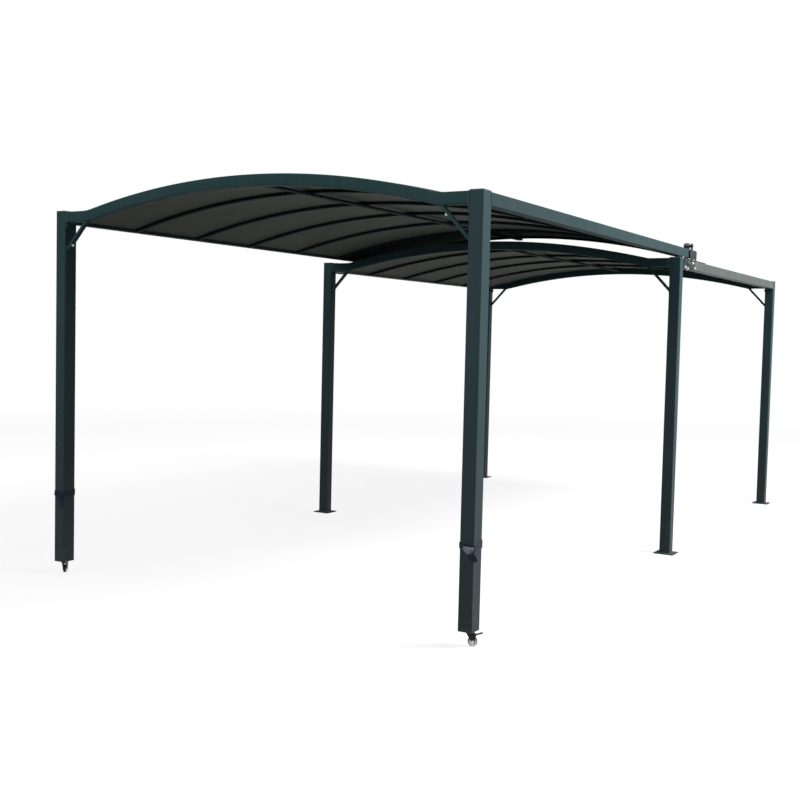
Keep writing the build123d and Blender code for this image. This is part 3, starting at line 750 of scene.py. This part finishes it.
# Turned pieces: rollers, caster wheels and swivel races.
def turnedMesh(name, rings, centre, axis, steps=56):
    # rings are (closed outline of (along, radius) pairs, finish)
    axis = Vector(axis).normalized()
    first = axis.orthogonal().normalized()
    second = axis.cross(first)
    points, faces, marks = [], [], []
    for mark, (outline, finish) in enumerate(rings):
        base, count = len(points), len(outline)
        for step in range(steps):
            angle = 2 * math.pi * step / steps
            outward = first * math.cos(angle) + second * math.sin(angle)
            points += [Vector(centre) + axis * along + outward * radius for along, radius in outline]
        for step in range(steps):
            here, there = base + step * count, base + (step + 1) % steps * count
            for i in range(count):
                j = (i + 1) % count
                faces.append((here + i, here + j, there + j, there + i))
                marks.append(mark)
    mesh = bpy.data.meshes.new(name)
    mesh.from_pydata([tuple(point) for point in points], [], faces)
    for outline, finish in rings:
        mesh.materials.append(finish)
    mesh.polygons.foreach_set("material_index", marks)
    mesh.polygons.foreach_set("use_smooth", [True] * len(faces))
    return mesh


def turnedPiece(name, rings, centre, axis, body, slotName, replaced=()):
    piece = place(name, turnedMesh(name, rings, centre, axis), body, slotName, replaced)
    piece.data.set_sharp_from_angle(angle=math.radians(32))


def arcPoints(along, radius, size, start, end, count=5):
    # a rounded corner of an outline, centre (along, radius), angles in degrees
    angles = [math.radians(start + (end - start) * i / (count - 1)) for i in range(count)]
    return [(along + size * math.cos(angle), radius + size * math.sin(angle)) for angle in angles]


rollerLook = {"radius": 0.025, "half": 0.020, "shoulder": 0.0072, "rim": 0.0175, "recess": 0.005,
              "grooves": (-0.006, 0.006), "grooveHalf": 0.0012, "grooveDeep": 0.0009,
              "seat": 0.0166, "web": 0.0125, "sleeve": 0.0118, "bore": 0.00605,
              "bearing": 0.0160, "outerRace": 0.0138, "shield": (0.0133, 0.0097), "innerRace": 0.0092,
              "deep": 0.002, "proud": 0.0012}


def rollerRings(look):
    half, radius, shoulder, bore = look["half"], look["radius"], look["shoulder"], look["bore"]
    body = [(-half, look["rim"])] + arcPoints(-half + shoulder, radius - shoulder, shoulder, 180, 90)
    for groove in look["grooves"]:
        body += [(groove - look["grooveHalf"], radius), (groove, radius - look["grooveDeep"]),
                 (groove + look["grooveHalf"], radius)]
    body += arcPoints(half - shoulder, radius - shoulder, shoulder, 90, 0) + [(half, look["rim"])]
    inner = half - look["recess"]
    body += [(inner, look["seat"]), (inner, look["web"]), (-inner, look["web"]), (-inner, look["seat"])]
    bearings = []
    for side in (-1, 1):
        deep, out = side * (inner - look["deep"]), side * (inner + look["proud"])
        sunk = out - side * look["proud"]
        bearings.append(([(deep, look["bearing"]), (out, look["bearing"]), (out, look["outerRace"]),
                          (sunk, look["shield"][0]), (sunk, look["shield"][1]), (out, look["innerRace"]),
                          (out, bore), (deep, bore)], axleSteel))
    sleeve = [(-inner, look["sleeve"]), (inner, look["sleeve"]), (inner, bore), (-inner, bore)]
    return [(body, rollerNylon)] + bearings + [(sleeve, axleSteel)]


for joint in joints.values():
    if "roller_spin" in joint["name"]:
        turnedPiece(joint["child"] + "_turned", rollerRings(rollerLook), joint["pos_m"], (1, 0, 0),
                    joint["child"], "roller_plastic", [joint["child"]])

wheelLook = {"radius": 0.025, "half": 0.009, "shoulder": 0.0032, "tread": 0.0216, "inset": 0.0012,
             "seamHalf": 0.0008, "seamDeep": 0.0004, "hubInset": 0.0004, "rim": 0.0022, "well": 0.0042,
             "dish": 0.0026, "boss": 0.0082, "fillet": 0.0012, "bore": 0.00405,
             "forkGap": 0.0015, "forkThick": 0.003}


def wheelRings(look):
    half, radius, shoulder, tread = look["half"], look["radius"], look["shoulder"], look["tread"]
    tyre = [(-half + look["inset"], tread)]
    tyre += arcPoints(-half + shoulder, radius - shoulder, shoulder, 180, 90)
    tyre += [(-look["seamHalf"], radius), (0.0, radius - look["seamDeep"]), (look["seamHalf"], radius)]
    tyre += arcPoints(half - shoulder, radius - shoulder, shoulder, 90, 0) + [(half - look["inset"], tread)]
    face, dish = half - look["hubInset"], half - look["dish"]
    hub = [(face, tread), (face, tread - look["rim"]), (dish, tread - look["well"]),
           (dish, look["boss"] + look["fillet"]), (half, look["boss"]), (half, look["bore"])]
    return [(tyre, tyreRubber), ([(-along, radius) for along, radius in hub] + hub[::-1], hubPlastic)]


raceLook = {"top": 0.0788, "thick": 0.0046, "outer": 0.0233, "inner": 0.0215, "lip": 0.0008}
pedalLook = {"ribs": 5, "firstRib": 0.014, "pitch": 0.0055, "run": 0.040, "rise": 0.012, "half": 0.002,
             "wide": 0.0175, "thick": 0.0014, "high": 0.0012}


def ribTree():
    # short bars across a pad, one at each seed point
    s = Shaper("ribTree", ["wide", "thick", "high"])
    size = s.vector(s.size["wide"], s.size["thick"], s.size["high"])
    bar = s.add("GeometryNodeMeshCube", None, {"Size": size})
    facing, along = s.stored("facing"), s.stored("along")
    turned = s.add("FunctionNodeAlignRotationToVector", {"axis": "X"}, {"Vector": along})
    turned = s.add("FunctionNodeAlignRotationToVector", {"axis": "Z", "pivot_axis": "X"},
                   {"Rotation": turned, "Vector": facing})
    return s.close(s.copies(bar, turned))


ribShape = ribTree()
for sideName in sideOf:
    spin = joints["caster_wheel_spin_" + sideName]
    turnedPiece("casterWheel_" + sideName, wheelRings(wheelLook), spin["pos_m"], spin["axis"],
                "caster_wheel_" + sideName, "wheel_rubber", ["caster_wheel_" + sideName])
    centre, axle = Vector(spin["pos_m"]), Vector(spin["axis"]).normalized()
    cheek = wheelLook["half"] + wheelLook["forkGap"] + wheelLook["forkThick"]
    bolt("casterAxle_" + sideName, "axleBolt", [(centre + axle * cheek, axle), (centre - axle * cheek, -axle)],
         "caster_fork_" + sideName, "caster_metal")

for sideName in sideOf:
    swivel = Vector(joints["caster_swivel_" + sideName]["pos_m"])
    tilt = joints["brake_pedal_tilt_" + sideName]
    top, lip = raceLook["top"], raceLook["lip"]
    bottom, shoulder = top - raceLook["thick"], raceLook["outer"] - lip
    race = arcPoints(top - lip, shoulder, lip, 0, 90) + arcPoints(bottom + lip, shoulder, lip, 90, 180)
    race += [(bottom, raceLook["inner"]), (top, raceLook["inner"])]
    turnedPiece("swivelRace_" + sideName, [(race, zincSteel)], (swivel.x, swivel.y, 0.0), (0, 0, 1),
                "caster_fork_" + sideName, "caster_metal")
    pivot, across = Vector(tilt["pos_m"]), Vector(tilt["axis"]).normalized()
    trail = (Vector((pivot.x, pivot.y, 0)) - Vector((swivel.x, swivel.y, 0))).normalized()
    slope = (trail * pedalLook["run"] + axisZ * pedalLook["rise"]).normalized()
    above = across.cross(slope) if across.cross(slope).z > 0 else slope.cross(across)
    steps = [pedalLook["firstRib"] + pedalLook["pitch"] * i for i in range(pedalLook["ribs"])]
    seed = seedPoints("pedalRibPoints", [(pivot + slope * step + above * pedalLook["half"], above, 0.0)
                                         for step in steps])
    reach = seed.attributes.new("along", "FLOAT_VECTOR", "POINT")
    reach.data.foreach_set("vector", [value for step in steps for value in across])
    grow("pedalRibs_" + sideName, ribShape, seed, {key: pedalLook[key] for key in ("wide", "thick", "high")},
         casterBlack, "brake_pedal_" + sideName, "caster_metal")
print("canopy: rollers and casters turned")


# Cloth ties: a creased band round the post, a wrap that gathers it, a fanned flap and a tail.
tieLook = {
    "right": {"height": 0.524, "knot": -0.018, "slant": 0.010, "fan": -24.0, "seed": 3.1, "lined": 1},
    "left": {"height": 0.523, "knot": -0.020, "slant": 0.006, "fan": -34.0, "seed": 7.7, "lined": 0},
}
clothCut = {
    "cut": (0.050, 0.47), "thick": 0.0011, "gap": 0.0012,
    "band": 0.046, "gathered": 0.026, "gatherReach": 0.06, "lean": 2.6,
    "folds": 4, "foldDeep": 0.0036, "swell": 0.0016,
    "knotHalf": (0.0085, 0.0056, 0.0168), "knotOut": 0.0062,
    "fanLong": 0.060, "fanWide": 0.054, "fanRoot": 0.0065, "fanOut": 0.0105, "pleat": 0.0024,
    "tailLong": 0.090, "tailWide": 0.044, "tailRoot": 0.006, "tailFrom": 0.012,
    "tailTurn": 8, "tailDroop": 38,
}


def aroundPost(low, high, distance, corner=postCorner):
    # a place on the outline of a post, and the way out, at a distance from the front's middle
    wide, deep = (high.x - low.x) / 2 - corner, (high.y - low.y) / 2 - corner
    middle = Vector(((low.x + high.x) / 2, (low.y + high.y) / 2, 0))
    bend = corner * math.pi / 2
    # length of each straight run, the way out and the way along
    runs = [(wide, (0, -1), (1, 0)), (2 * deep, (1, 0), (0, 1)), (2 * wide, (0, 1), (-1, 0)),
            (2 * deep, (-1, 0), (0, -1)), (wide, (0, -1), (1, 0))]
    distance %= 4 * wide + 4 * deep + 4 * bend
    starts = [(0, -deep - corner), (wide + corner, -deep), (wide, deep + corner), (-wide - corner, deep),
              (-wide, -deep - corner)]
    pivots = [(wide, -deep), (wide, deep), (-wide, deep), (-wide, -deep)]
    for i, (length, out, way) in enumerate(runs):
        if distance <= length or i == 4:
            x, y = starts[i][0] + way[0] * distance, starts[i][1] + way[1] * distance
            return middle + Vector((x, y, 0)), Vector((out[0], out[1], 0))
        distance -= length
        if distance <= bend:
            angle = math.radians(-90 + 90 * i) + distance / corner
            out = Vector((math.cos(angle), math.sin(angle), 0))
            return middle + Vector((*pivots[i], 0)) + out * corner, out
        distance -= bend


def addCloth(sheets, rows, looped, scale, mark=0):
    # rows of points become one layer of cloth with its own place in the "cloth" map
    points, faces, flat, marks = sheets
    base, count = len(points), len(rows[0])
    points += [tuple(point) for row in rows for point in row]
    for i in range(len(rows) if looped else len(rows) - 1):
        for j in range(count - 1):
            a, b = base + i * count + j, base + (i + 1) % len(rows) * count + j
            faces.append((a, b, b + 1, a + 1))
            marks.append(mark)
            square = ((i, j), (i + 1, j), (i + 1, j + 1), (i, j + 1))
            flat.append([(s * scale[0], t * scale[1]) for s, t in square])


def makeTie(sideName, look, cut):
    low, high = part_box("sliding_post_" + sideName)
    around = 2 * (high.x - low.x + high.y - low.y) - 8 * postCorner + 2 * math.pi * postCorner
    sheets = ([], [], [], [])

    def wander(a, b):
        return noise.noise(Vector((a, b, look["seed"])))

    def lean(distance):
        return look["slant"] * math.cos(2 * math.pi * distance / around + cut["lean"])

    # the band, gathered near the knot, with folds that wander along it
    rows, steps, across = [], 150, 18
    for i in range(steps):
        distance = around * i / steps
        away = min(abs(distance - look["knot"]), around - abs(distance - look["knot"]))
        opened = min(1.0, away / cut["gatherReach"])
        opened = opened * opened * (3 - 2 * opened)
        half = (cut["gathered"] + (cut["band"] - cut["gathered"]) * opened) / 2
        lift = lean(distance) + 0.003 * wander(i * 0.09, 1.0)
        point, out = aroundPost(low, high, distance)
        row = []
        for j in range(across + 1):
            v = 2 * j / across - 1
            deep = 0.0
            for fold in range(cut["folds"]):
                crest = -0.72 + 0.48 * fold + 0.16 * wander(i * 0.06 + fold * 9.0, fold * 3.3)
                sharp = 0.13 + 0.05 * wander(fold * 5.1, i * 0.04)
                share = 0.75 + 0.5 * wander(i * 0.1, fold * 2.0 + 4.0)
                deep += share * math.exp(-((v - crest) / sharp) ** 2)
            swell = cut["swell"] * (1 - v ** 4) * (0.5 + 0.5 * opened)
            off = cut["gap"] + swell + cut["foldDeep"] * max(0.0, deep) * (1.25 - 0.45 * opened)
            edge = half * (v + 0.05 * wander(i * 0.16, v * 0.7) * abs(v))
            row.append(point + out * off + axisZ * (look["height"] + lift + edge))
        rows.append(row)
    addCloth(sheets, rows, True, (around / steps, cut["band"] / across))
    knot = Vector(((low.x + high.x) / 2 + look["knot"], low.y, look["height"] + lean(look["knot"])))

    # the wrap over the band
    rows, steps, across = [], 28, 8
    for i in range(steps):
        angle = 2 * math.pi * i / steps
        row = []
        for j in range(across + 1):
            w = 2 * j / across - 1
            pinch = 1 - 0.16 * w * w + 0.05 * wander(i * 0.5, w * 2.0)
            wide, deep, tall = cut["knotHalf"][0], cut["knotHalf"][1] * pinch, cut["knotHalf"][2] * pinch
            row.append(knot + Vector((w * wide + 0.0012 * math.sin(angle * 2),
                                      -cut["knotOut"] - deep * math.cos(angle) * 1.25, tall * math.sin(angle))))
        rows.append(row)
    addCloth(sheets, rows, True, (0.0035, 0.002))

    # the flap, which fans out in pleats; on the right tie it takes the paler copy of the cloth, painted light
    way = math.radians(look["fan"])
    along, beside = Vector((math.cos(way), 0, math.sin(way))), Vector((-math.sin(way), 0, math.cos(way)))
    rows, steps, across = [], 21, 18
    for i in range(steps + 1):
        t = i / steps
        half = cut["fanRoot"] + (cut["fanWide"] / 2 - cut["fanRoot"]) * t ** 0.85
        row = []
        for j in range(across + 1):
            v = 2 * j / across - 1
            pleat = math.cos(v * math.pi * 3.5 + 0.6) * cut["pleat"] * (1 - 0.25 * t)
            out = cut["fanOut"] + 0.0040 * math.sin(math.pi * min(1.0, t * 1.1)) - 0.0035 * v * v * t + pleat
            curl = 0.004 * t * t
            row.append(knot + along * (cut["fanLong"] * t * (1 - 0.10 * v * v)) + beside * (half * v)
                       + Vector((0, -out + curl, 0.0015 * wander(t * 3, v * 2))))
        rows.append(row)
    addCloth(sheets, rows, False, (cut["fanLong"] / steps, cut["fanWide"] / across), look["lined"])

    # the tail, which droops and turns back past the post's edge
    rows, steps, across = [], 25, 10
    for i in range(steps + 1):
        t = i / steps
        turn = math.radians(look["fan"] - cut["tailTurn"] - cut["tailDroop"] * t)
        step = Vector((math.cos(turn), 0, math.sin(turn)))
        spine = (spine + step * cut["tailLong"] / steps) if i else knot + along * cut["tailFrom"]
        cross = Vector((-step.z, 0, step.x))
        half = cut["tailRoot"] + (cut["tailWide"] / 2 - cut["tailRoot"]) * min(1.0, t * 1.6)
        beyond = max(0.0, spine.x - (high.x - 0.004))
        row = []
        for j in range(across + 1):
            v = 2 * j / across - 1
            out = cut["knotOut"] + 0.0018 * math.sin(t * 5) + cut["pleat"] * math.cos(v * 6.5 + t * 2.0)
            row.append(spine + cross * (half * v) + Vector((-beyond * 0.35, 0.5 * beyond - out, 0)))
        rows.append(row)
    addCloth(sheets, rows, False, (cut["tailLong"] / steps, cut["tailWide"] / across))

    points, faces, flat, marks = sheets
    mesh = bpy.data.meshes.new("postTie_" + sideName)
    mesh.from_pydata(points, [], faces)
    chart = mesh.uv_layers.new(name="cloth")
    chart.data.foreach_set("uv", [value for corners in flat for corner in corners for value in corner])
    mesh.materials.append(tieCloth)
    mesh.materials.append(tieLining)
    mesh.polygons.foreach_set("material_index", marks)
    piece = place("postTie_" + sideName, mesh, "sliding_frame", "tie_fabric", ["post_tie_" + sideName])
    wall = piece.modifiers.new("clothThickness", "SOLIDIFY")
    wall.thickness, wall.offset = cut["thick"], 0.0
    finer = piece.modifiers.new("smoother", "SUBSURF")
    finer.levels = finer.render_levels = 1
    mesh.polygons.foreach_set("use_smooth", [True] * len(mesh.polygons))


for sideName, look in tieLook.items():
    makeTie(sideName, look, clothCut)
print("canopy: cloth ties wrapped")


# The frame's own nodes keep their shape and get the finish of the first word that their name holds.
nodeFinish = {
    "caps": capPlastic, "sockets": capPlastic, "tie": tieCloth, "roof_sheet": roofFinish,
    "bracket": bracketPaint, "knee_braces": archPaint, "ridge_bar": ribPaint, "base_plate": framePaint,
    "fixed_side_beam": weatheredPaint, "arch": archPaint, "rib": ribPaint, "beam": framePaint,
    "post": postPaint, "roller": rollerNylon, "wheel": tyreRubber, "fork": casterBlack, "pedal": casterBlack,
}
for name, node in nodes.items():
    node.data.materials.clear()
    node.data.materials.append(next(finish for word, finish in nodeFinish.items() if word in name))
print("canopy: frame nodes dressed")
